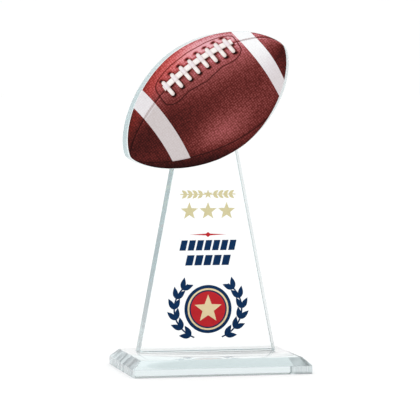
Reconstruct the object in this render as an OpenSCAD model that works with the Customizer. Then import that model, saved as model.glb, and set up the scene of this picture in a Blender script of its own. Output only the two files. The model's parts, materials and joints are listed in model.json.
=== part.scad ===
// Football award trophy: a clear glass plaque, cut as a tilted football on a tapered tower,
// bonded upright on a bevelled glass base and decorated with layered printed films.
// Frame: origin at the centre of the base's underside, +Z up, +X to the right, front face towards -Y.

/* [Overall] */
// Height of the whole trophy
total_h = 230; // [150:1:320]

/* [Base] */
// Width of the base, left to right
base_w = 122; // [80:1:180]
// Depth of the base, front to back
base_d = 90; // [60:1:140]
// Thickness of the base plate
base_h = 11; // [8:0.5:20]
// Height of the upright edge below the bevel
base_edge_h = 5.5; // [2:0.5:10]
// How far the bevel runs in from the edge
base_bevel = 6; // [2:0.5:12]
// Flat ground across each upright corner
base_corner = 0.7; // [0.3:0.1:2]
// Thickness of the cured adhesive under the plaque
bond_t = 0.15; // [0.1:0.05:0.5]
// Distance of the adhesive's edge from the foot's edge
bond_inset = 0.4; // [0.1:0.1:2]

/* [Plaque] */
// Thickness of the plaque's glass
plaque_t = 15; // [8:0.5:20]
// Distance of the plaque's middle behind the middle of the base
plaque_setback = 11; // [0:0.5:20]
// Width of the tower's foot
tower_foot_w = 95; // [60:1:120]
// Lean of each side of the tower from upright, in degrees
tower_lean = 10.8; // [5:0.1:15]
// Tilt of the football's long axis, in degrees
head_tilt = 34.3; // [0:0.1:45]
// Half of the head's length along its axis
head_reach = 66; // [40:0.5:80]
// Rise of the head above its axis
head_rise = 41; // [25:0.5:50]
// Drop of the head below its axis
head_drop = 39; // [25:0.5:50]
// Sideways offset of the head's middle
head_x = 0.15; // [-5:0.05:5]
// Roundness of the near tip, lower is rounder
near_tip_power = 1.115; // [0.8:0.005:1.4]
// Roundness of the far tip, lower is rounder
far_tip_power = 0.985; // [0.8:0.005:1.4]
// Fullness of the head's sides, lower is fuller
side_power = 1.32; // [1:0.01:1.6]

/* [Football picture] */
// Thickness of one printed film
film_t = 0.15; // [0.1:0.05:0.4]
// Bare margin between the print and the edge of the glass
print_margin = 0.3; // [0.2:0.05:1]
// Tilt of the picture's long axis, in degrees
ball_tilt = 35.7; // [0:0.1:45]
// Reach of the picture to the near tip
ball_near = 68.6; // [40:0.1:80]
// Reach of the picture to the far tip
ball_far = 62; // [40:0.1:80]
// Rise of the picture above its axis
ball_rise = 40.8; // [25:0.1:50]
// Drop of the picture below its axis
ball_drop = 38.9; // [25:0.1:50]
// Height of the picture's middle above the head's middle
ball_lift = 2.05; // [0:0.05:5]
// Sideways offset of the picture's middle
ball_x = 2.4; // [-5:0.1:5]
// Roundness of the picture's near tip, lower is rounder
ball_near_power = 1.02; // [0.8:0.01:1.4]
// Roundness of the picture's far tip, lower is rounder
ball_far_power = 1.1; // [0.8:0.01:1.4]
// Fullness of the picture's sides, lower is fuller
ball_side_power = 1.32; // [1:0.01:1.6]
// Width of the printed seam lines
seam_w = 0.6; // [0.3:0.1:1.5]
// Width of the lace strip
lace_strip_w = 3.7; // [2:0.1:6]
// Length of one cross lace
lace_bar_l = 12.2; // [8:0.1:20]
// Width of one cross lace
lace_bar_w = 2.8; // [1:0.1:5]
// Number of cross laces
lace_bars = 8; // [4:1:12]

/* [Tower decoration] */
// Width of the gold sprig and of the row of stars
gold_w = 38.4; // [20:0.2:60]
// Height of the sprig's middle
sprig_z = 119; // [80:0.5:130]
// Height of the stars' middle
stars_z = 107.5; // [80:0.5:130]
// Outer radius of one star
star_r = 6.2; // [3:0.1:10]
// Height of the red rule's middle
rule_z = 91.5; // [60:0.5:120]
// Height of the upper name bar's middle
upper_bar_z = 84.2; // [50:0.5:110]
// Height of the lower name bar's middle
lower_bar_z = 74; // [40:0.5:100]
// Height of the wreath's and medallion's middle
crest_z = 40.5; // [20:0.5:60]
// Radius of the medallion
medallion_r = 16.5; // [8:0.5:22]

/* [Hidden] */
// front face of the plaque, and the level that its foot stands on
face_y = plaque_setback - plaque_t / 2;
foot_z = base_h + bond_t;

// number of steps along an edge, and along a quarter of a rim
edge_n = 20;
rim_n = 48;

// the edges of the stripes: place along the ball, bow towards the near tip, and the bow's middle
near_stripe = [[-45.3, 2.4, 0.05], [-32.9, 3.4, 0.1]];
far_stripe = [[41.2, 2.6, -0.2], [51, 2.3, -0.05]];

// the lower seam: its height at the ball's middle and its slope
lower_seam_mid = -0.862;
lower_seam_slope = -0.003;
lower_seam_dive = 0.00009;

// the centre seam: its height at the ball's middle, its slope, and its climb to the rim past a place
centre_seam_mid = 0.655;
centre_seam_slope = 0.0014;
centre_seam_climb = 0.13;
climb_from = 30;
climb_l = 27;
// the gap between a seam's end and the rim
seam_end_gap = 2;
near_seam_end = seam_end_gap - ball_near;
far_seam_end = ball_far - seam_end_gap;

// the stitched patch around the laces: its middle, half length, arched top and wavy foot, and its corners
patch_u = 4.3;
patch_v = 21;
patch_half_l = 32.6;
patch_corner = 0.33;
patch_top_v = 35.3;
patch_top_bow = 0.0055;
patch_foot_v = 12.4;
patch_wave = 0.95;
patch_wave_l = 25;

// the lace strip: the middle of its bow, the bow, and its ends
lace_mid_u = 1.9;
lace_mid_v = 26.65;
lace_bow = 0.0032;
lace_from = -23;
lace_to = 34;

// the cross laces: the first one's place, their spacing and how it closes up, their turn and drop
bar_from = -20.5;
bar_step = 8;
bar_close = 0.1;
bar_turn = 6;
bar_drop = 1.8;

// the sprig: its stem, star and leaves
sprig_stem_h = 0.7;
sprig_star_r = 3.2;
sprig_leaf = [4.6, 2.1];
sprig_leaf_step = gold_w / 10.5;
sprig_leaf_turn = 38;
star_waist = 0.42;

// the red rule: half lengths and half heights of its long lozenge and of its bead
rule_half = [13, 0.7];
bead_half = [2.2, 1.8];

// the name bars: width, height and number of blocks, the blocks' slant and the gap between them
upper_bar = [40, 7, 7];
lower_bar = [32, 7, 5];
bar_slant = 1.6;
bar_gap = 1.3;

// the medallion: how far its ring, disc and star lie in from its rim
ring_inset = 2.2;
ring_w = 1.2;
disc_inset = 4.4;
star_inset = 6.6;
disc_n = 96;

// the wreath: radius, stem, widening and span of its arc, and the leaves' size, turn and spacing
wreath_r = medallion_r + 4.6;
wreath_stem_w = 1;
wreath_wide = 1.12;
wreath_span = [-66, 54];
wreath_leaf = [8.6, 3.7];
wreath_leaf_turn = 28;
wreath_leaf_from = -60;
wreath_leaf_step = 20;

clear_glass = [0.86, 0.93, 0.93];
cured_resin = [0.93, 0.95, 0.95];
white_ink = [0.95, 0.95, 0.95];
leather_ink = [0.42, 0.14, 0.14];
stripe_ink = [0.88, 0.88, 0.88];
lace_ink = [0.93, 0.90, 0.86];
seam_ink = [0.17, 0.05, 0.05];
gold_ink = [0.84, 0.81, 0.64];
red_ink = [0.74, 0.14, 0.14];
navy_ink = [0.04, 0.17, 0.35];
cream_ink = [0.94, 0.88, 0.76];

// ---- shapes ----

// signed power, which keeps the sign of its base
function spow(x, p) = sign(x) * pow(abs(x), p);

// a point of a rounded lens at angle a: reach to each tip, rise and drop, and the powers of tips and sides
function lens_point(a, reach_n, reach_f, rise, drop, tip_n, tip_f, side) = [
    cos(a) < 0 ? reach_n * spow(cos(a), tip_n) : reach_f * spow(cos(a), tip_f),
    (sin(a) < 0 ? drop : rise) * spow(sin(a), side)];

// turns points by tilt degrees and moves them to a middle
function place(points, tilt, mid) = [for (p = points)
    [mid.x + p.x * cos(tilt) - p.y * sin(tilt), mid.y + p.x * sin(tilt) + p.y * cos(tilt)]];

// the head's outline before it is placed, drawn in by a margin
function head_points(margin) = [for (k = [0:4 * rim_n - 1])
    lens_point(k * 90 / rim_n, head_reach - margin, head_reach - margin, head_rise - margin,
        head_drop - margin, near_tip_power, far_tip_power, side_power)];
// the height of the head's middle, which puts its top at total_h
head_z = total_h - max([for (p = place(head_points(0), head_tilt, [0, 0])) p.y]);
function head_outline(margin) = place(head_points(margin), head_tilt, [head_x, head_z]);

// the football picture in its own axes: u along the ball from near tip to far tip, v across it
ball_mid = [ball_x, head_z + ball_lift];
function rim(a) = lens_point(a, ball_near, ball_far, ball_rise, ball_drop, ball_near_power, ball_far_power,
    ball_side_power);
function rim_angle(u) = u < 0
    ? 180 - acos(pow(min(1, -u / ball_near), 1 / ball_near_power))
    : acos(pow(min(1, u / ball_far), 1 / ball_far_power));
// w = -1 is the picture's lower rim and w = 1 its upper rim
function on_ball(u, w) = [u, w * (w < 0 ? ball_drop : ball_rise) * pow(sin(rim_angle(u)), ball_side_power)];
function steps(from, to, n) = [for (k = [0:n]) from + (to - from) * k / n];
// steps in u that crowd towards the tips, where the rim turns fastest
function rim_steps(from, to, n) = [for (a = steps(rim_angle(from), rim_angle(to), n)) rim(a).x];

// the heights of the lower seam, the centre seam and the middle of the lace strip
function lower_seam_w(u) = max(-1, lower_seam_mid + lower_seam_slope * u
    - lower_seam_dive * max(0, u) ^ 2);
seam_meets_rim = (lower_seam_slope + sqrt(lower_seam_slope ^ 2
    + 4 * lower_seam_dive * (1 + lower_seam_mid))) / (2 * lower_seam_dive);
function centre_seam_w(u) = centre_seam_mid + centre_seam_slope * u
    + centre_seam_climb * pow(max(0, (u - climb_from) / climb_l), 3);
function lace_v(u) = lace_mid_v - lace_bow * pow(u - lace_mid_u, 2);

// an edge of a stripe, from the lower seam up to the upper rim
function edge_u(edge, w) = edge[0] - edge[1] * pow(w - edge[2], 2);
function edge_foot(edge) = lower_seam_w(edge_u(edge, lower_seam_w(edge[0])));
function edge_points(edge) = [for (w = steps(edge_foot(edge), 1, edge_n)) on_ball(edge_u(edge, w), w)];
function edge_top_u(edge) = edge_u(edge, 1);
function edge_foot_u(edge) = edge_u(edge, edge_foot(edge));

function turned(points) = [for (k = [len(points) - 1:-1:0]) points[k]];
function upper_rim(from, to, n) = [for (u = rim_steps(from, to, n)) on_ball(u, 1)];
function lower_side(from, to, n) = [for (u = rim_steps(from, to, n)) on_ball(u, lower_seam_w(u))];
function inner(points) = [for (k = [1:len(points) - 2]) points[k]];

// a panel between two stripe edges
function panel(left, right) = concat(
    edge_points(left),
    inner(upper_rim(edge_top_u(left), edge_top_u(right), edge_n)),
    turned(edge_points(right)),
    inner(turned(lower_side(edge_foot_u(left), edge_foot_u(right), 2 * edge_n))));

// a ribbon of a given width along a list of [u, v] points
function ribbon(points, width) = concat(
    [for (p = points) [p.x, p.y - width / 2]],
    [for (p = turned(points)) [p.x, p.y + width / 2]]);

function star_points(r, turn = 90) = [for (k = [0:9])
    (k % 2 == 0 ? r : star_waist * r) * [cos(turn + 36 * k), sin(turn + 36 * k)]];

// half of a leaf's width at a share of its length: widest a little before the middle
function leaf_half(share) = sin(180 * pow(share, 0.8)) / 2;
// a leaf of [length, width] from the origin to its tip on +X
function leaf_points(size) = concat(
    [for (k = [0:8]) [size[0] * k / 8, size[1] * leaf_half(k / 8)]],
    [for (k = [7:-1:1]) [size[0] * k / 8, -size[1] * leaf_half(k / 8)]]);

// a lozenge of [half length, half height] around a point
function lozenge(half, mid) = [[mid.x - half[0], mid.y], [mid.x, mid.y - half[1]], [mid.x + half[0], mid.y],
    [mid.x, mid.y + half[1]]];

// the outline of the stitched patch around the laces, grown by g
function patch_top(u) = patch_top_v - patch_top_bow * pow(u, 2);
function patch_foot(u) = patch_foot_v - patch_wave * cos(360 * (u - patch_u) / patch_wave_l);
function patch_points(g) = [for (k = [0:4 * edge_n - 1])
    let (a = k * 90 / edge_n, u = patch_u + (patch_half_l + g) * spow(cos(a), patch_corner),
        reach = sin(a) < 0 ? patch_v - patch_foot(u) + g : patch_top(u) + g - patch_v)
    [u, patch_v + reach * spow(sin(a), patch_corner)]];

// the outline of a cross lace with round ends, before it is turned and placed
bar_points = concat(
    [for (a = [0:20:180]) lace_bar_w / 2 * [cos(a), sin(a)] + [0, (lace_bar_l - lace_bar_w) / 2]],
    [for (a = [180:20:360]) lace_bar_w / 2 * [cos(a), sin(a)] - [0, (lace_bar_l - lace_bar_w) / 2]]);
function bar_u(i) = bar_from + bar_step * i - bar_close * i * i;

// ---- solids ----

// stands a drawing in X and Z upright, with its back at y and a thickness towards the front
module upright(y, t) translate([0, y, 0]) rotate([90, 0, 0]) linear_extrude(t) children();

// one printed layer on the plaque's front face, layer 1 lying on the glass
module printed(layer) upright(face_y - (layer - 1) * film_t, film_t) children();

// printed points given in the ball's own axes
module on_picture(layer, points) printed(layer) polygon(place(points, ball_tilt, ball_mid));

// the same, trimmed to the glass
module trimmed_picture(layer, points) intersection() {
    on_picture(layer, points);
    printed(layer) polygon(head_outline(print_margin));
}

module bevel_profile(w) polygon([[-w / 2, 0], [w / 2, 0], [w / 2, base_edge_h],
    [w / 2 - base_bevel, base_h], [base_bevel - w / 2, base_h], [-w / 2, base_edge_h]]);

module base_plan() polygon([for (k = [0:3], s = [0, 1])
    let (right = k == 0 || k == 3, back = k < 2, first = k % 2 == 0 ? s : 1 - s)
    [(right ? 1 : -1) * (base_w / 2 - (first == 1 ? base_corner : 0)),
        (back ? 1 : -1) * (base_d / 2 - (first == 1 ? 0 : base_corner))]]);

module base_block() color(clear_glass) intersection() {
    upright(base_d, 2 * base_d) bevel_profile(base_w);
    rotate([0, 0, 90]) upright(base_w, 2 * base_w) bevel_profile(base_d);
    translate([0, 0, -base_h]) linear_extrude(3 * base_h) base_plan();
}

// the tower's half width at a height, and its side up to the head's middle
function tower_half(z) = tower_foot_w / 2 - (z - foot_z) * tan(tower_lean);

module plaque() color(clear_glass) union() {
    upright(plaque_setback + plaque_t / 2, plaque_t) polygon(head_outline(0));
    upright(plaque_setback + plaque_t / 2, plaque_t) polygon([[-tower_half(foot_z), foot_z],
        [tower_half(foot_z), foot_z], [tower_half(head_z), head_z], [-tower_half(head_z), head_z]]);
}

module bond_film() color(cured_resin)
    translate([-tower_foot_w / 2 + bond_inset, face_y + bond_inset, base_h])
    cube([tower_foot_w - 2 * bond_inset, plaque_t - 2 * bond_inset, bond_t]);

module football_underbase() color(white_ink)
    trimmed_picture(1, [for (k = [0:4 * rim_n - 1]) rim(k * 90 / rim_n)]);

module near_tip_panel() color(leather_ink) trimmed_picture(2, concat(
    edge_points(near_stripe[0]),
    inner(upper_rim(edge_top_u(near_stripe[0]), -ball_near, edge_n)),
    inner(lower_side(-ball_near, edge_foot_u(near_stripe[0]), edge_n))));

module near_stripe() color(stripe_ink) trimmed_picture(2, panel(near_stripe[0], near_stripe[1]));

module middle_panel() color(leather_ink) trimmed_picture(2, panel(near_stripe[1], far_stripe[0]));

module far_stripe() color(stripe_ink) trimmed_picture(2, panel(far_stripe[0], far_stripe[1]));

module far_tip_panel() color(leather_ink) trimmed_picture(2, concat(
    turned(edge_points(far_stripe[1])),
    inner(lower_side(edge_foot_u(far_stripe[1]), ball_far, edge_n)),
    inner(upper_rim(ball_far, edge_top_u(far_stripe[1]), edge_n))));

module lower_panel() color(leather_ink) trimmed_picture(2, concat(
    lower_side(-ball_near, seam_meets_rim, 3 * edge_n),
    [for (u = inner(rim_steps(seam_meets_rim, -ball_near, 3 * edge_n))) on_ball(u, -1)]));

// a seam line on the leather: heights at steps in u
module seam_line(points) color(seam_ink) difference() {
    trimmed_picture(3, ribbon(points, seam_w));
    patch_ring();
}

module near_seam() seam_line([for (u = rim_steps(near_seam_end, lace_from - seam_w, edge_n))
    on_ball(u, centre_seam_w(u))]);

module far_seam() seam_line([for (u = rim_steps(lace_to + seam_w, far_seam_end, edge_n))
    on_ball(u, centre_seam_w(u))]);

module lower_seam() seam_line([for (u = rim_steps(near_seam_end, seam_meets_rim - seam_end_gap, 2 * edge_n))
    on_ball(u, lower_seam_w(u))]);

// the patch's stitched line, thick enough front to back to cut or to be cut to a film
module patch_ring() difference() {
    on_picture(3, patch_points(seam_w / 2));
    translate([0, film_t, 0]) upright(face_y - 2 * film_t, 3 * film_t)
        polygon(place(patch_points(-seam_w / 2), ball_tilt, ball_mid));
}

module lace_patch_seam() color(seam_ink) patch_ring();

module lace_strip() color(lace_ink) on_picture(3, ribbon(
    [for (u = steps(lace_from, lace_to, edge_n)) [u, lace_v(u)]], lace_strip_w));

// a cross lace; their spacing closes up towards the far tip
module lace_bar(i) color(lace_ink)
    on_picture(4, place(bar_points, bar_turn, [bar_u(i), lace_v(bar_u(i)) - bar_drop]));

module gold_sprig() color(gold_ink) union() {
    printed(1) translate([-gold_w / 2, sprig_z - sprig_stem_h / 2]) square([gold_w, sprig_stem_h]);
    for (side = [-1, 1], k = [1:4], up = [-1, 1])
        printed(1) polygon(place(leaf_points(sprig_leaf), 90 - side * 90 + side * up * sprig_leaf_turn,
            [side * k * sprig_leaf_step, sprig_z]));
    printed(1) polygon(place(star_points(sprig_star_r), 0, [0, sprig_z]));
}

module gold_star(side) color(gold_ink)
    printed(1) polygon(place(star_points(star_r), 0, [side * (gold_w / 2 - star_r), stars_z]));

module red_rule() color(red_ink) union() {
    printed(1) polygon(lozenge(rule_half, [0, rule_z]));
    printed(1) polygon(lozenge(bead_half, [0, rule_z]));
}

// a row of slanted blocks, bar = [width, height, number]
module name_bar(z, bar) {
    block = (bar[0] - bar_slant - (bar[2] - 1) * bar_gap) / bar[2];
    for (k = [0:bar[2] - 1])
        let (left = -bar[0] / 2 + k * (block + bar_gap), low = z - bar[1] / 2, high = z + bar[1] / 2)
        printed(1) polygon([[left, low], [left + block, low], [left + block + bar_slant, high],
            [left + bar_slant, high]]);
}
module upper_name_bar() color(navy_ink) name_bar(upper_bar_z, upper_bar);
module lower_name_bar() color(navy_ink) name_bar(lower_bar_z, lower_bar);

module crest_disc(layer, r) printed(layer) translate([0, crest_z]) circle(r, $fn = disc_n);

module medallion_rim() color(navy_ink) crest_disc(1, medallion_r);

module medallion_ring() color(cream_ink) difference() {
    crest_disc(2, medallion_r - ring_inset);
    translate([0, film_t, 0]) upright(face_y - film_t, 3 * film_t) translate([0, crest_z])
        circle(medallion_r - ring_inset - ring_w, $fn = disc_n);
}

module medallion_disc() color(red_ink) crest_disc(2, medallion_r - disc_inset);

module medallion_star() color(cream_ink)
    printed(3) polygon(place(star_points(medallion_r - star_inset), 0, [0, crest_z]));

// points around the crest's middle, mirrored for the left branch, and a point of the wreath's arc
function on_crest(side, points) = [for (p = points) [side * p.x, crest_z + p.y]];
function on_arc(r, a) = [r * cos(a) * wreath_wide, r * sin(a)];

// one branch of the wreath: a stem along an arc around the medallion, with leaves in pairs
module wreath(side) color(navy_ink) union() {
    angles = steps(wreath_span[0], wreath_span[1], 2 * edge_n);
    printed(1) polygon(on_crest(side, concat(
        [for (a = angles) on_arc(wreath_r + wreath_stem_w / 2, a)],
        turned([for (a = angles) on_arc(wreath_r - wreath_stem_w / 2, a)]))));
    for (k = [0:5], out = [-1, 1])
        let (a = wreath_leaf_from + k * wreath_leaf_step)
        printed(1) polygon(on_crest(side, place(leaf_points(wreath_leaf), a + 90 - out * wreath_leaf_turn,
            on_arc(wreath_r, a))));
}

base_block();
plaque();
bond_film();
football_underbase();
near_tip_panel();
near_stripe();
middle_panel();
far_stripe();
far_tip_panel();
lower_panel();
near_seam();
far_seam();
lower_seam();
lace_patch_seam();
lace_strip();
lace_bar(0);  // lace_bar_1
lace_bar(1);  // lace_bar_2
lace_bar(2);  // lace_bar_3
lace_bar(3);  // lace_bar_4
lace_bar(4);  // lace_bar_5
lace_bar(5);  // lace_bar_6
lace_bar(6);  // lace_bar_7
lace_bar(7);  // lace_bar_8
gold_sprig();
gold_star(-1);  // gold_star_left
gold_star(0);  // gold_star_middle
gold_star(1);  // gold_star_right
red_rule();
upper_name_bar();
lower_name_bar();
medallion_rim();
medallion_ring();
medallion_disc();
medallion_star();
wreath(-1);  // wreath_left
wreath(1);  // wreath_right
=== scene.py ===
# Football award trophy: clear glass plaque and base, printed films and a plain white studio.
# Everything is in metres in the CAD frame: +Z up, +X to the right, the printed face towards -Y.
import json
import math

import bmesh
import bpy
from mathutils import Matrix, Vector


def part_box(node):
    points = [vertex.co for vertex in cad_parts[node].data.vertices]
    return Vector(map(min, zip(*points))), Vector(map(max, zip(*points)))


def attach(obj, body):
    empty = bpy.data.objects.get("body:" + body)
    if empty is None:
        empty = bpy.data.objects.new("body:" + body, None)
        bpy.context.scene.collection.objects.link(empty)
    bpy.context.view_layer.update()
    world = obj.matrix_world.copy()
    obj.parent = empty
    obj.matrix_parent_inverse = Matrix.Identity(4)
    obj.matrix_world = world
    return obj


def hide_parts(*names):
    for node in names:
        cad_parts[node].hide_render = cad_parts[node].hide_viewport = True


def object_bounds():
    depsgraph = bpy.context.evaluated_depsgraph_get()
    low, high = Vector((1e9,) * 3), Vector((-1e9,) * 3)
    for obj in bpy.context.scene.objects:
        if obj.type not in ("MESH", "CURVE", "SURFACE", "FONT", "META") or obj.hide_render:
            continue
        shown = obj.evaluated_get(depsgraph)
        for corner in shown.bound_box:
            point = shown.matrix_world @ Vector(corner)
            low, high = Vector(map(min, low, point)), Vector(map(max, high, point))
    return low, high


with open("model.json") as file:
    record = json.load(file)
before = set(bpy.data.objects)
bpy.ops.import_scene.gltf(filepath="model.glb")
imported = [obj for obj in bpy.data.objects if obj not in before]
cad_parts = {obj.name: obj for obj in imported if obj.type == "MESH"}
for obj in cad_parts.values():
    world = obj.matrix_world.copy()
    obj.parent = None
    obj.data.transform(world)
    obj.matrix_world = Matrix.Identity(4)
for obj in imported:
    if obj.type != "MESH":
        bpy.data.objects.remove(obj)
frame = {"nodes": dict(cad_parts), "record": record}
cad_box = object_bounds()

MM = 0.001
ARRIS = 0.25 * MM           # width of the narrow chamfer along each glass edge
INK_BITE = 0.02 * MM        # how far the first printed film lies in the glass, for optical contact
FLOOR_REACH = 30.0          # half the floor's width
FLOOR_GLOW = 0.28           # light that the floor gives off by itself
FLOOR_GAP = 0.05 * MM       # keeps the floor clear of the base's underside
BASE_ARRIS = 0.8 * ARRIS    # the same chamfer on the base
BOND_GAP = 0.1              # clearance above and below the adhesive, as a share of its thickness
BOND_CORNER = 1.5 * MM      # radius of the adhesive's corners
BOND_DRAW_IN = 0.1 * MM     # how far the adhesive's edge is drawn in half way up
BOND_STEPS = 4              # steps in the adhesive's quarter corners
SHARP = math.radians(20)    # edges that turn more than this are shaded as sharp

# Camera: distance to the point that it looks at, direction of view, and lens on a 36 mm sensor
CAMERA_DISTANCE = 1.7
CAMERA_AZIMUTH = math.radians(-12.76)
CAMERA_ELEVATION = math.radians(2.95)
CAMERA_LENS = 214.2
AIM_X = 0.6 * MM
AIM_SHARE = 0.4713          # height of the point looked at, as a share of the trophy's height

# Brightness of the studio behind the camera, behind the trophy and overhead
WORLD_FRONT = 0.6
WORLD_BACK = 1.01
WORLD_TOP = 1.18


def srgb(red, green, blue):
    """A colour given as display values from 0 to 255, as linear values."""
    def linear(c):
        c /= 255
        return c / 12.92 if c <= 0.04045 else ((c + 0.055) / 1.055) ** 2.4
    return (linear(red), linear(green), linear(blue), 1.0)


# ---- node painting ----

class Paint:
    """A material whose nodes are added by short calls. Values may be numbers or sockets."""

    def __init__(self, name):
        self.material = bpy.data.materials.new(name)
        self.material.use_nodes = True
        self.tree = self.material.node_tree
        self.shader = self.tree.nodes["Principled BSDF"]
        self.output = self.tree.nodes["Material Output"]
        place = self.node("ShaderNodeTexCoord").outputs["Object"]
        split = self.node("ShaderNodeSeparateXYZ", place)
        self.place = place
        self.x, self.y, self.z = split.outputs

    def node(self, kind, *values, **settings):
        made = self.tree.nodes.new(kind)
        for key, value in settings.items():
            setattr(made, key, value)
        for socket, value in zip(made.inputs, values):
            self.feed(socket, value)
        return made

    def feed(self, socket, value):
        if isinstance(value, bpy.types.NodeSocket):
            self.tree.links.new(value, socket)
        elif value is not None:
            socket.default_value = value

    def math(self, operation, a, b=None, c=None):
        return self.node("ShaderNodeMath", a, b, c, operation=operation).outputs[0]

    def add(self, a, b): return self.math("ADD", a, b)
    def sub(self, a, b): return self.math("SUBTRACT", a, b)
    def mul(self, a, b): return self.math("MULTIPLY", a, b)
    def div(self, a, b): return self.math("DIVIDE", a, b)
    def power(self, a, b): return self.math("POWER", a, b)
    def absolute(self, a): return self.math("ABSOLUTE", a)

    def linear(self, value, slope, offset):
        return self.math("MULTIPLY_ADD", value, slope, offset)

    def total(self, first, *others):
        for other in others:
            first = self.add(first, other)
        return first

    def product(self, first, *others):
        for other in others:
            first = self.mul(first, other)
        return first

    def smooth(self, value, low, high):
        """0 at low, 1 at high, with a soft start and end."""
        return self.node("ShaderNodeMapRange", value, low, high, 0.0, 1.0,
                         interpolation_type="SMOOTHSTEP").outputs[0]

    def rise(self, value, low, high):
        """0 at low, 1 at high, in a straight line."""
        return self.node("ShaderNodeMapRange", value, low, high, 0.0, 1.0).outputs[0]

    def bump_at(self, value, middle, width):
        """A soft hill of height 1 where value is middle, and about 0.6 at width from it."""
        away = self.div(self.sub(value, middle), width)
        return self.math("EXPONENT", self.mul(self.mul(away, away), -0.5))

    def between(self, share, a, b):
        """A number that is a where share is 0, and b where it is 1."""
        return self.add(a, self.mul(share, self.sub(b, a)))

    def noise(self, size, detail=2.0, vector=None):
        """Noise from 0 to 1 with features of about size metres."""
        made = self.node("ShaderNodeTexNoise")
        self.feed(made.inputs["Vector"], vector or self.place)
        made.inputs["Scale"].default_value = 1 / size
        made.inputs["Detail"].default_value = detail
        return made.outputs[0]

    def cells(self, size, vector=None, scatter=1.0):
        """Distance from the middle of cells of about size metres; scatter is 1 where the cells lie
        at random and 0 where they lie in even rows."""
        made = self.node("ShaderNodeTexVoronoi")
        self.feed(made.inputs["Vector"], vector or self.place)
        made.inputs["Scale"].default_value = 1 / size
        made.inputs["Randomness"].default_value = scatter
        return made.outputs["Distance"]

    def ramp(self, value, stops):
        """A colour that changes with value; stops are (value, colour) from low to high."""
        made = self.node("ShaderNodeValToRGB", value)
        elements = made.color_ramp.elements
        while len(elements) < len(stops):
            elements.new(1.0)
        for element, (position, colour) in zip(elements, stops):
            element.position = position
            element.color = colour
        return made.outputs[0]

    def mix(self, share, a, b):
        made = self.node("ShaderNodeMix", data_type="RGBA")
        self.feed(made.inputs[0], share)
        self.feed(made.inputs[6], a)
        self.feed(made.inputs[7], b)
        return made.outputs[2]

    def bump(self, height, depth, strength=1.0):
        made = self.node("ShaderNodeBump")
        made.inputs["Strength"].default_value = strength
        made.inputs["Distance"].default_value = depth
        self.feed(made.inputs["Height"], height)
        self.feed(self.shader.inputs["Normal"], made.outputs[0])

    def set(self, **inputs):
        for name, value in inputs.items():
            self.feed(self.shader.inputs[name.replace("_", " ")], value)


# ---- outlines ----

def front_outline(node):
    """The outline of a CAD node's front face as (x, z) points, in order."""
    mesh = frame["nodes"][node].data
    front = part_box(node)[0].y
    corners = [(round(v.co.x, 7), round(v.co.z, 7)) for v in mesh.vertices]
    ahead = {}
    for polygon in mesh.polygons:
        if all(abs(mesh.vertices[i].co.y - front) < 1e-6 for i in polygon.vertices):
            loop = [corners[i] for i in polygon.vertices]
            for a, b in zip(loop, loop[1:] + loop[:1]):
                if (b, a) in ahead:
                    del ahead[b, a]
                else:
                    ahead[a, b] = True
    start = min(ahead)[0]
    steps = {a: b for a, b in ahead}
    points = [start]
    while steps[points[-1]] != start:
        points.append(steps[points[-1]])
    return [Vector(p) for p in points]


def turn_at(points, k):
    """How far an outline turns at point k, in radians."""
    before = points[k] - points[k - 1]
    after = points[(k + 1) % len(points)] - points[k]
    return abs(before.angle_signed(after))


def smoothed(points):
    """An outline with one more point in each step of its curved stretches, on the curve."""
    count = len(points)
    corner = [turn_at(points, k) > SHARP for k in range(count)]
    result = []
    for k in range(count):
        a, b, c, d = (points[(k + n) % count] for n in (-1, 0, 1, 2))
        result.append(b)
        step = (c - b).length
        even = max((b - a).length, (d - c).length, step) < 2.5 * min((b - a).length, (d - c).length, step)
        if even and not corner[k] and not corner[(k + 1) % count]:
            result.append((b + c) * 9 / 16 - (a + d) / 16)
    return result


def inset(points, width):
    """An outline moved inwards by width. The points run anticlockwise or clockwise."""
    count = len(points)
    area = sum(points[k - 1].x * points[k].y - points[k].x * points[k - 1].y for k in range(count))
    side = 1 if area > 0 else -1
    result = []
    for k in range(count):
        before = (points[k] - points[k - 1]).normalized()
        after = (points[(k + 1) % count] - points[k]).normalized()
        bisector = (Vector((-before.y, before.x)) + Vector((-after.y, after.x))).normalized()
        reach = width / max(0.3, bisector.dot(Vector((-after.y, after.x))))
        result.append(points[k] + bisector * side * reach)
    return result


# ---- pieces ----

def finish_mesh(bm, name):
    """Turns bm into an object with its faces outwards and its edges sharp where they turn."""
    bmesh.ops.recalc_face_normals(bm, faces=bm.faces)
    mesh = bpy.data.meshes.new(name)
    bm.to_mesh(mesh)
    bm.free()
    for polygon in mesh.polygons:
        polygon.use_smooth = True
    mesh.set_sharp_from_angle(angle=SHARP)
    made = bpy.data.objects.new(name, mesh)
    bpy.context.scene.collection.objects.link(made)
    return made


def close_rings(bm, rows):
    """Joins rings of points into a closed skin, with a flat face over the first and the last."""
    bm.faces.new(rows[0])
    bm.faces.new(rows[-1])
    for a, b in zip(rows, rows[1:]):
        for k in range(len(a)):
            bm.faces.new((a[k - 1], a[k], b[k], b[k - 1]))


def stand_for(piece, node, material):
    """Dresses a piece and sets it in place of its CAD node, which it hides."""
    piece.data.materials.append(material)
    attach(piece, "root")
    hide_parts(node)


def make_plaque():
    """The plaque: its outline, with a narrow chamfer round the front and the back."""
    low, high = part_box("plaque")
    outline = smoothed(smoothed(front_outline("plaque")))
    inner = inset(outline, ARRIS)
    front = low.y - INK_BITE
    rings = [(inner, front), (outline, front + ARRIS), (outline, high.y - ARRIS), (inner, high.y)]
    bm = bmesh.new()
    close_rings(bm, [[bm.verts.new((p.x, y, p.y)) for p in points] for points, y in rings])
    return finish_mesh(bm, "plaque_glass")


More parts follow.
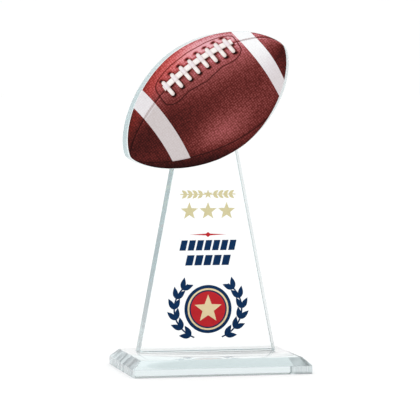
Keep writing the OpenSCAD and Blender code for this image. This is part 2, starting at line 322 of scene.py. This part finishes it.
def make_base():
    """The base: the CAD block with a polished chamfer along every edge that isn't on the floor."""
    bm = bmesh.new()
    bm.from_mesh(frame["nodes"]["base_block"].data)
    bmesh.ops.remove_doubles(bm, verts=bm.verts, dist=1e-6)
    bmesh.ops.dissolve_limit(bm, angle_limit=math.radians(1), verts=bm.verts, edges=bm.edges)
    polished = [edge for edge in bm.edges if max(corner.co.z for corner in edge.verts) > ARRIS]
    bmesh.ops.bevel(bm, geom=polished, offset=BASE_ARRIS, segments=1, affect="EDGES", clamp_overlap=True)
    return finish_mesh(bm, "base_glass")


def make_bond():
    """The cured adhesive, with its edge drawn in where it shrank."""
    low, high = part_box("bond_film")
    gap = (high.z - low.z) * BOND_GAP
    corner = BOND_CORNER
    middle_x, middle_y = (low.x + high.x) / 2, (low.y + high.y) / 2
    half_x, half_y = (high.x - low.x) / 2, (high.y - low.y) / 2
    bm = bmesh.new()
    levels = [(low.z + gap, 0.0), ((low.z + high.z) / 2, BOND_DRAW_IN), (high.z - gap, 0.0)]
    rows = []
    for z, draw_in in levels:
        row = []
        for quarter in range(4):
            for step in range(BOND_STEPS + 1):
                angle = math.radians(90 * (quarter + step / BOND_STEPS))
                sign_x = 1 if quarter in (0, 3) else -1
                sign_y = 1 if quarter in (0, 1) else -1
                x = middle_x + sign_x * (half_x - corner) + (corner - draw_in) * math.cos(angle)
                y = middle_y + sign_y * (half_y - corner) + (corner - draw_in) * math.sin(angle)
                row.append(bm.verts.new((x, y, z)))
        rows.append(row)
    close_rings(bm, rows)
    return finish_mesh(bm, "bond_layer")


# ---- glass ----

GLASS_TINT = (0.66, 0.86, 0.87, 1)
GLASS_IOR = 1.52
PLAQUE_DENSITY = 6.0        # how strongly each piece of glass tints what passes through it
BASE_DENSITY = 2.5
SATIN_SHARE = 0.45          # share of the light that a satin side scatters and doesn't let through
SATIN_ROUGHNESS = 0.05      # roughness that a satin side adds


def face_direction(p):
    """How much a face points along X, Y and Z, each from 0 to 1."""
    split = p.node("ShaderNodeSeparateXYZ", p.node("ShaderNodeNewGeometry").outputs["True Normal"])
    return [p.absolute(share) for share in split.outputs]


def clear_glass(name, density):
    """Clear polished glass that tints what passes through it, with a hardly visible waviness."""
    p = Paint(name)
    waves = p.add(p.noise(30 * MM, 1.0), p.mul(p.noise(4 * MM, 2.0), 0.15))
    p.bump(waves, 0.004 * MM)
    p.set(IOR=GLASS_IOR)
    absorb = p.node("ShaderNodeVolumeAbsorption")
    absorb.inputs["Color"].default_value = GLASS_TINT
    absorb.inputs["Density"].default_value = density
    p.tree.links.new(absorb.outputs[0], p.output.inputs["Volume"])
    return p


def haze(p):
    """The slight roughness of faint wiping marks on clear glass."""
    return p.mul(p.smooth(p.noise(14 * MM, 3.0), 0.62, 0.85), 0.012)


def plaque_glass():
    """The plaque's glass: clear faces, and sides ground to a satin that shows the glass's colour, darkened
    with painted shade.
    """
    p = clear_glass("plaque_glass", PLAQUE_DENSITY)
    side = p.sub(1.0, p.smooth(face_direction(p)[1], 0.5, 0.85))
    streaks = p.add(p.mul(p.noise(30 * MM, 1.0), 0.7), p.mul(p.noise(2 * MM, 2.0), 0.3))
    foot = p.sub(1.0, p.smooth(p.z, 15 * MM, 70 * MM))
    # painted shade: the sides' teal is partly the glass's own colour and partly the darkening that the thick
    # edge shows, painted lighter towards the foot
    colour = p.mix(foot, p.mix(streaks, srgb(142, 186, 191), srgb(184, 214, 218)), srgb(216, 228, 230))
    p.set(Base_Color=p.mix(side, (1, 1, 1, 1), colour), Transmission_Weight=p.linear(side, -SATIN_SHARE, 1.0),
          Roughness=p.add(haze(p), p.mul(side, SATIN_ROUGHNESS)))
    return p.material


def base_glass():
    """The base's glass: clear above, with painted shade that tints the faces in front and greys the bevels,
    and satin ends whose bevels are painted much darker.
    """
    p = clear_glass("base_glass", BASE_DENSITY)
    along, _, up = face_direction(p)
    end = p.smooth(along, 0.3, 0.6)
    deep = p.node("ShaderNodeCombineXYZ", p.mul(p.x, 0.25), p.y, p.mul(p.z, 0.25)).outputs[0]
    streaks = p.smooth(p.noise(6 * MM, 3.0, deep), 0.38, 0.6)
    # painted shade: the ends' sloping faces are coloured darker than their upright faces
    bevel_shade = p.smooth(up, 0.3, 0.5)
    dark = p.mix(bevel_shade, srgb(178, 194, 200), srgb(84, 104, 114))
    light = p.mix(bevel_shade, srgb(232, 239, 241), srgb(206, 220, 224))
    satin = p.mix(streaks, dark, light)
    # painted light and shade by face direction: upright faces slightly tinted, bevels greyer, top and
    # underside white
    clear = p.ramp(up, [(0.0, srgb(240, 244, 245)), (0.7, srgb(206, 218, 219)), (0.9, (1, 1, 1, 1))])
    p.set(Base_Color=p.mix(end, clear, satin), Transmission_Weight=p.linear(end, -SATIN_SHARE, 1.0),
          Roughness=p.add(haze(p), p.mul(end, SATIN_ROUGHNESS)))
    return p.material


def cured_resin():
    """Clear cured adhesive with faint flow marks."""
    p = Paint("cured_resin")
    flow = p.noise(6 * MM, 2.0)
    p.bump(flow, 0.02 * MM)
    colour = p.mix(flow, srgb(226, 232, 233), srgb(240, 244, 244))
    p.set(Base_Color=colour, Transmission_Weight=0.6, Roughness=0.15, IOR=1.5)
    return p.material


# ---- the football picture ----

# The picture's axes: its middle, tilt, reach to each tip, rise and drop, in millimetres, and the
# powers that shape its tips and sides
BALL_MIDDLE = Vector((2.4 * MM, cad_box[1][2] - 45.8 * MM))
BALL_TILT = math.radians(35.7)
BALL_NEAR, BALL_FAR = 68.6, 62.0
BALL_RISE, BALL_DROP = 40.8, 38.9
NEAR_POWER, FAR_POWER, SIDE_POWER = 1.02, 1.1, 1.32

NEAR_STRIPE = [(-45.3, 2.4, 0.05), (-32.9, 3.4, 0.1)]    # each edge: place along the ball, bow, its middle
FAR_STRIPE = [(41.2, 2.6, -0.2), (51.0, 2.3, -0.05)]

LACE_U, LACE_V, LACE_BOW = 1.9, 26.65, 0.0032            # the lace strip's bow
LACE_FROM, LACE_TO = -23.0, 34.0
BAR_FROM, BAR_STEP, BAR_CLOSE = -20.5, 8.0, 0.1          # the cross laces' places
BAR_TURN = math.radians(6)
BAR_DROP = 1.8
LAST_BAR = 7

SEAM_MIDDLE, SEAM_SLOPE, SEAM_CLIMB = 0.655, 0.0014, 0.13    # the centre seam's height, slope and climb
CLIMB_FROM, CLIMB_LENGTH = 30.0, 27.0


class BallPaint(Paint):
    """A material in the football picture's own axes, in millimetres: u along it, v across it,
    and w from -1 at its lower rim to 1 at its upper rim."""

    def __init__(self, name):
        super().__init__(name)
        cosine, sine = math.cos(BALL_TILT), math.sin(BALL_TILT)
        east = self.mul(self.sub(self.x, BALL_MIDDLE.x), 1 / MM)
        north = self.mul(self.sub(self.z, BALL_MIDDLE.y), 1 / MM)
        self.u = self.add(self.mul(east, cosine), self.mul(north, sine))
        self.v = self.sub(self.mul(north, cosine), self.mul(east, sine))
        far = self.math("GREATER_THAN", self.u, 0.0)
        high = self.math("GREATER_THAN", self.v, 0.0)
        share = self.div(self.absolute(self.u), self.between(far, BALL_NEAR, BALL_FAR))
        out = self.power(self.math("MINIMUM", share, 0.999), self.between(far, 1 / NEAR_POWER, 1 / FAR_POWER))
        fullness = self.power(self.sub(1.0, self.mul(out, out)), SIDE_POWER / 2)
        self.half = self.mul(fullness, self.between(high, BALL_DROP, BALL_RISE))
        self.w = self.div(self.v, self.half)

    def centre_seam(self):
        """How far a point lies above the centre seam, in millimetres."""
        past = self.div(self.sub(self.u, CLIMB_FROM), CLIMB_LENGTH)
        climb = self.power(self.math("MAXIMUM", past, 0.0), 3.0)
        height = self.add(self.linear(self.u, SEAM_SLOPE, SEAM_MIDDLE), self.mul(climb, SEAM_CLIMB))
        return self.sub(self.v, self.mul(height, self.half))

    def lace_side(self):
        """How far a point lies above the middle of the lace strip, in millimetres."""
        off = self.sub(self.u, LACE_U)
        return self.sub(self.v, self.linear(self.mul(off, off), -LACE_BOW, LACE_V))

    def lace_step(self, side):
        """A point's distance past the middle of the nearest cross lace, in millimetres."""
        u = self.add(self.u, self.mul(self.add(side, BAR_DROP), math.tan(BAR_TURN)))
        inside = self.linear(self.sub(u, BAR_FROM), -4 * BAR_CLOSE, BAR_STEP ** 2)
        index = self.div(self.sub(BAR_STEP, self.math("SQRT", inside)), 2 * BAR_CLOSE)
        nearest = self.math("MINIMUM", self.math("MAXIMUM", self.math("ROUND", index), 0.0), LAST_BAR)
        closed = self.mul(self.mul(nearest, nearest), -BAR_CLOSE)
        return self.sub(u, self.total(self.mul(nearest, BAR_STEP), closed, BAR_FROM))

    def bowed(self, edge):
        """How far a point lies past a stripe's edge, in millimetres."""
        place, bow, middle = edge
        off = self.sub(self.w, middle)
        return self.sub(self.add(self.u, self.mul(self.mul(off, off), bow)), place)

    def in_stripe(self, edges):
        """1 between a stripe's two edges, and 0 outside them."""
        return self.mul(self.smooth(self.bowed(edges[0]), -0.1, 0.1),
                        self.sub(1.0, self.smooth(self.bowed(edges[1]), -0.1, 0.1)))


# Leather from dark to light: in soft light, and where the light is warm and the red is purest
LEATHER_TONES = [(0.10, srgb(30, 9, 9)), (0.17, srgb(43, 14, 14)), (0.25, srgb(65, 23, 21)),
                 (0.39, srgb(100, 38, 35)), (0.55, srgb(140, 70, 68)), (0.69, srgb(176, 92, 96)),
                 (0.82, srgb(210, 140, 147)), (0.92, srgb(234, 176, 184))]
RED_TONES = [(0.10, srgb(30, 9, 8)), (0.17, srgb(43, 14, 13)), (0.25, srgb(65, 23, 20)),
             (0.39, srgb(100, 33, 28)), (0.55, srgb(140, 48, 42)), (0.69, srgb(176, 70, 66)),
             (0.82, srgb(210, 100, 98)), (0.92, srgb(234, 140, 140))]


def leather_tone(p):
    """The picture's light on the leather, as the red display value from 0 to 1."""
    u, w = p.u, p.w
    below = p.smooth(p.mul(w, -1.0), 0.0, 0.35)
    body = p.math("MAXIMUM", p.linear(u, 0.52, 92.0), p.linear(p.bump_at(w, -0.42, 0.2), 12.0, 67.0))
    far_fall = p.mul(p.smooth(u, 39.0, 54.0), p.linear(below, -14.0, -20.0))
    tip_fall = p.mul(p.smooth(u, 51.0, 62.0), -22.0)
    low_fall = p.mul(p.mul(p.smooth(u, 12.0, 34.0), p.bump_at(w, -0.32, 0.13)), -10.0)
    shine = p.mul(p.mul(p.bump_at(u, 17.0, 13.0), p.bump_at(w, 0.81, 0.06)), 32.0)
    off = p.div(p.sub(u, 9.0), 75.0)
    top_height = p.linear(p.mul(off, off), -125.0, 125.0)
    top_rise = p.power(p.rise(w, p.math("MAXIMUM", p.linear(u, -0.0065, -0.02), -0.02), 0.80), 1.15)
    glow = p.mul(p.mul(p.bump_at(u, -8.0, 17.0), p.bump_at(w, -0.58, 0.21)), 61.0)
    tone = p.div(p.total(body, far_fall, tip_fall, low_fall, p.mul(top_height, top_rise), shine, glow), 255.0)
    left_share = p.sub(1.0, p.smooth(u, -28.0, 12.0))
    belly = p.mul(p.smooth(p.mul(w, -1.0), 0.64, 0.98), p.linear(left_share, 0.38, 0.06))
    rim = p.smooth(p.absolute(w), 0.90, 1.0)
    return p.product(tone, p.sub(1.0, belly), p.linear(rim, -0.14, 1.0))


def leather_colour(p, tone):
    """The colour for a tone: purest red on the upper left of the ball."""
    red_share = p.mul(p.sub(1.0, p.smooth(p.u, -12.0, 22.0)), p.smooth(p.w, 0.5, 0.9))
    return p.mix(red_share, p.ramp(tone, LEATHER_TONES), p.ramp(tone, RED_TONES))


def lace_shadow(p):
    """Soft dark marks that the laces throw on the leather: under the strip, beside each cross
    lace, and the eyelet at each end."""
    side = p.lace_side()
    step = p.lace_step(side)
    along = p.mul(p.smooth(p.u, LACE_FROM - 2, LACE_FROM + 0.5),
                  p.sub(1.0, p.smooth(p.u, LACE_TO, LACE_TO + 1.5)))
    under = p.mul(p.bump_at(side, -2.5, 0.8), p.linear(p.bump_at(step, 2.6, 1.0), 0.4, 0.55))
    over = p.mul(p.bump_at(side, 2.2, 0.5), 0.3)
    reach = p.mul(p.smooth(side, -8.0, -7.0), p.sub(1.0, p.smooth(side, 3.6, 4.4)))
    beside = p.mul(p.mul(p.bump_at(step, 1.6, 0.6), reach), 0.6)
    lower_eye = p.mul(p.bump_at(side, -8.4, 0.7), p.bump_at(step, 0.3, 1.1))
    upper_eye = p.mul(p.bump_at(side, 5.0, 0.6), p.bump_at(step, -0.5, 1.2))
    marks = p.math("MAXIMUM", p.math("MAXIMUM", under, over), beside)
    eyes = p.math("MAXIMUM", p.mul(lower_eye, 1.6), upper_eye)
    return p.math("MINIMUM", p.mul(p.math("MAXIMUM", marks, eyes), along), 1.0)


def pebbles(p):
    """The leather's pebbles: 0 at the top of each and higher in the grooves between them."""
    across = p.node("ShaderNodeCombineXYZ", p.mul(p.u, MM), p.mul(p.v, 1.12 * MM)).outputs[0]
    return p.cells(1.6 * MM, across, scatter=0.36)


def leather_ink():
    """Maroon football leather as printed: pebbles, light from above, seams and lace shadows."""
    p = BallPaint("leather_ink")
    tone = leather_tone(p)
    pebble = pebbles(p)
    fine = p.noise(0.4 * MM, 1.0)
    blotch = p.noise(8 * MM, 2.0)
    grain = p.mul(p.linear(pebble, -1.05, 0.43), p.linear(tone, -1.2, 1.4))
    tone = p.mul(tone, p.total(1.0, grain, p.linear(fine, 0.1, -0.05), p.linear(blotch, 0.02, -0.01)))
    seam = p.centre_seam()
    seam_light = p.mul(p.bump_at(seam, -0.75, 0.35), 0.16)
    seam_dark = p.mul(p.bump_at(seam, 0.3, 0.5), -0.22)
    tone = p.mul(tone, p.total(1.0, seam_light, seam_dark))
    tone = p.mul(tone, p.linear(lace_shadow(p), -0.82, 1.0))
    p.bump(pebble, 0.02 * MM, 0.4)
    p.set(Base_Color=leather_colour(p, tone), Roughness=p.linear(pebble, 0.15, 0.42),
          Specular_IOR_Level=0.05)
    return p.material


STRIPE_TONES = [(0.60, srgb(150, 138, 138)), (0.78, srgb(199, 189, 188)), (0.87, srgb(223, 217, 220)),
                (0.97, srgb(248, 249, 250))]


def stripe_ink():
    """White stripe paint on the leather, greyer where the picture's light falls off."""
    p = BallPaint("stripe_ink")
    seam = p.centre_seam()
    near = p.linear(p.smooth(seam, -0.3, 0.5), 0.09, 0.80)
    far = p.linear(p.smooth(p.w, -0.7, 0.75), 0.14, 0.84)
    tone = p.between(p.math("GREATER_THAN", p.u, 0.0), near, far)
    stitch = p.linear(p.math("SINE", p.mul(p.u, 2 * math.pi / 1.9)), 0.08, -0.24)
    groove = p.add(p.mul(p.bump_at(seam, 0.1, 0.4), stitch), p.mul(p.bump_at(seam, -1.1, 0.4), 0.05))
    pebble = pebbles(p)
    fine = p.noise(0.6 * MM, 2.0)
    grain = p.total(p.linear(pebble, -0.06, 0.026), p.linear(fine, 0.05, -0.025), groove)
    p.bump(pebble, 0.02 * MM, 0.3)
    p.set(Base_Color=p.ramp(p.add(tone, grain), STRIPE_TONES), Roughness=0.45, Specular_IOR_Level=0.05)
    return p.material


def seam_ink():
    """Dark stitched line, with gaps between the stitches, and pale where it crosses a stripe."""
    p = BallPaint("seam_ink")
    stitch = p.math("SINE", p.mul(p.u, 2 * math.pi / 1.3))
    thread = p.linear(p.smooth(stitch, -0.7, 0.2), -0.16, 0.62)
    faint = p.mul(p.smooth(p.lace_side(), 2.0, 5.0), 0.05)
    tone = p.add(p.mul(leather_tone(p), p.add(thread, faint)), p.linear(p.noise(0.7 * MM), 0.06, -0.03))
    white = p.math("MAXIMUM", p.in_stripe(NEAR_STRIPE), p.in_stripe(FAR_STRIPE))
    dark = leather_colour(p, tone)
    p.set(Base_Color=p.mix(white, dark, srgb(196, 184, 184)), Roughness=0.5, Specular_IOR_Level=0.05)
    return p.material


LACE_TONES = [(0.30, srgb(70, 50, 48)), (0.55, srgb(150, 128, 124)), (0.78, srgb(212, 196, 190)),
              (0.93, srgb(244, 237, 233)), (1.0, srgb(252, 250, 248))]


def lace_weave(p, side, step):
    """Fine weave of the lace cord."""
    rows = p.math("SINE", p.mul(p.add(side, step), 2 * math.pi / 0.55))
    return p.add(p.mul(rows, 0.02), p.linear(p.noise(0.6 * MM), 0.08, -0.04))


def lace_bar_ink():
    """A cross lace: slightly round across, lilac where it crosses the strip, fading at its ends."""
    p = BallPaint("lace_bar_ink")
    side = p.lace_side()
    step = p.lace_step(side)
    across = p.div(p.add(step, 0.35), 1.4)
    crown = p.linear(p.mul(across, across), -0.11, 0.955)
    foot = p.mul(p.smooth(p.mul(side, -1.0), 5.0, 8.0), -0.13)
    head = p.mul(p.smooth(side, 2.4, 4.2), -0.08)
    fold = p.mul(p.bump_at(side, -2.0, 0.5), -0.09)
    tone = p.total(crown, foot, head, fold, lace_weave(p, side, step))
    blush = p.mul(p.bump_at(side, 0.2, 1.6), 0.35)
    colour = p.mix(blush, p.ramp(tone, LACE_TONES), srgb(222, 210, 228))
    p.set(Base_Color=colour, Roughness=0.5, Specular_IOR_Level=0.05)
    return p.material


def lace_strip_ink():
    """The long lace: flat and bright, with a soft shade beside each cross lace over it."""
    p = BallPaint("lace_strip_ink")
    side = p.lace_side()
    step = p.lace_step(side)
    across = p.div(p.sub(side, 0.3), 1.85)
    crown = p.linear(p.power(p.absolute(across), 4.0), -0.12, 0.965)
    tuck = p.mul(p.bump_at(p.absolute(step), 1.55, 0.3), -0.10)
    tone = p.total(crown, tuck, lace_weave(p, side, step))
    p.set(Base_Color=p.ramp(tone, LACE_TONES), Roughness=0.5, Specular_IOR_Level=0.05)
    return p.material


# ---- plain inks ----

def printed_ink(name, light, dark, roughness=0.4):
    """A solid ink with the slight mottle and the fine droplet texture of a print."""
    p = Paint(name)
    mottle = p.noise(5 * MM, 3.0)
    drops = p.cells(0.25 * MM)
    share = p.total(p.linear(mottle, 0.8, 0.1), p.linear(drops, -0.3, 0.1))
    p.bump(drops, 0.01 * MM, 0.3)
    p.set(Base_Color=p.mix(share, dark, light), Roughness=p.linear(drops, 0.1, roughness),
          Specular_IOR_Level=0.08)
    return p.material


# ---- studio ----

def add_camera():
    """The camera, at the viewing angle named at the top of this file."""
    aim = Vector((AIM_X, 0, cad_box[1][2] * AIM_SHARE))
    east, ahead = math.sin(CAMERA_AZIMUTH), math.cos(CAMERA_AZIMUTH)
    flat, up = math.cos(CAMERA_ELEVATION), math.sin(CAMERA_ELEVATION)
    back = Vector((east * flat, -ahead * flat, up))
    camera = bpy.data.objects.new("camera", bpy.data.cameras.new("camera"))
    camera.location = aim + back * CAMERA_DISTANCE
    camera.rotation_euler = (-back).to_track_quat("-Z", "Y").to_euler()
    camera.data.lens = CAMERA_LENS
    camera.data.clip_start = 0.01
    bpy.context.scene.collection.objects.link(camera)
    bpy.context.scene.camera = camera


def add_floor():
    """A plain white floor that also glows a little, like a light table."""
    bm = bmesh.new()
    bmesh.ops.create_grid(bm, x_segments=8, y_segments=8, size=FLOOR_REACH)
    floor = finish_mesh(bm, "floor")
    floor.location.z = -FLOOR_GAP
    p = Paint("floor")
    p.set(Base_Color=p.mix(p.noise(0.05, 2.0), (0.69, 0.69, 0.69, 1), (0.71, 0.71, 0.71, 1)), Roughness=0.9,
          Specular_IOR_Level=0.1, Emission_Color=(1, 1, 1, 1), Emission_Strength=FLOOR_GLOW)
    floor.data.materials.append(p.material)


def add_softbox(name, place, target, size, watts):
    """A rectangular soft light that faces a target."""
    light = bpy.data.lights.new(name, "AREA")
    light.shape = "RECTANGLE"
    light.size, light.size_y = size
    light.energy = watts
    box = bpy.data.objects.new(name, light)
    box.location = place
    box.rotation_euler = (Vector(target) - Vector(place)).to_track_quat("-Z", "Y").to_euler()
    bpy.context.scene.collection.objects.link(box)


def add_world():
    """A studio that is white behind the trophy, a little greyer behind the camera and brightest
    above."""
    world = bpy.data.worlds.new("studio")
    bpy.context.scene.world = world
    world.use_nodes = True
    tree = world.node_tree
    background = tree.nodes["Background"]
    background.inputs["Color"].default_value = (1, 1, 1, 1)
    direction = tree.nodes.new("ShaderNodeTexCoord").outputs["Generated"]
    split = tree.nodes.new("ShaderNodeSeparateXYZ")
    tree.links.new(direction, split.inputs[0])

    def grade(value, start, end, low, high):
        ramp = tree.nodes.new("ShaderNodeMapRange")
        ramp.interpolation_type = "SMOOTHSTEP"
        tree.links.new(value, ramp.inputs["Value"])
        for name, number in (("From Min", start), ("From Max", end), ("To Min", low), ("To Max", high)):
            if isinstance(number, bpy.types.NodeSocket):
                tree.links.new(number, ramp.inputs[name])
            else:
                ramp.inputs[name].default_value = number
        return ramp.outputs["Result"]

    around = grade(split.outputs["Y"], -0.7, 0.3, WORLD_FRONT, WORLD_BACK)
    tree.links.new(grade(split.outputs["Z"], 0.15, 0.75, around, WORLD_TOP), background.inputs["Strength"])


def set_scene():
    """Plain colours and enough light bounces for thick glass."""
    scene = bpy.context.scene
    scene.view_settings.view_transform = "Standard"
    scene.cycles.max_bounces = 24
    scene.cycles.transmission_bounces = 24
    scene.cycles.glossy_bounces = 12
    scene.cycles.transparent_max_bounces = 16
    scene.cycles.sample_clamp_indirect = 6.0


add_camera()
set_scene()
add_world()
add_floor()
top = cad_box[1][2]
add_softbox("key", (-0.9, -1.2, 1.1), (0, 0, top / 2), (1.0, 1.0), 2)
add_softbox("fill", (1.2, -1.0, 0.7), (0, 0, top / 2), (1.0, 1.0), 1)

stand_for(make_plaque(), "plaque", plaque_glass())
stand_for(make_base(), "base_block", base_glass())
stand_for(make_bond(), "bond_film", cured_resin())

INKS = {
    "white_ink": printed_ink("white_ink", srgb(247, 248, 248), srgb(240, 241, 242)),
    "leather_ink": leather_ink(),
    "stripe_ink": stripe_ink(),
    "seam_ink": seam_ink(),
    "lace_ink": lace_bar_ink(),
    "gold_ink": printed_ink("gold_ink", srgb(219, 211, 170), srgb(208, 199, 152)),
    "red_ink": printed_ink("red_ink", srgb(203, 44, 50), srgb(184, 34, 42)),
    "navy_ink": printed_ink("navy_ink", srgb(8, 52, 96), srgb(2, 38, 76)),
    "cream_ink": printed_ink("cream_ink", srgb(240, 222, 180), srgb(228, 206, 160)),
}
REBUILT = ("plaque", "base_block", "bond_film")
for part in frame["record"]["subparts"]:
    if part["node"] not in REBUILT:
        mesh = frame["nodes"][part["node"]].data
        mesh.materials.clear()
        mesh.materials.append(INKS[part["material_slot"]])
strip = frame["nodes"]["lace_strip"].data
strip.materials[0] = lace_strip_ink()
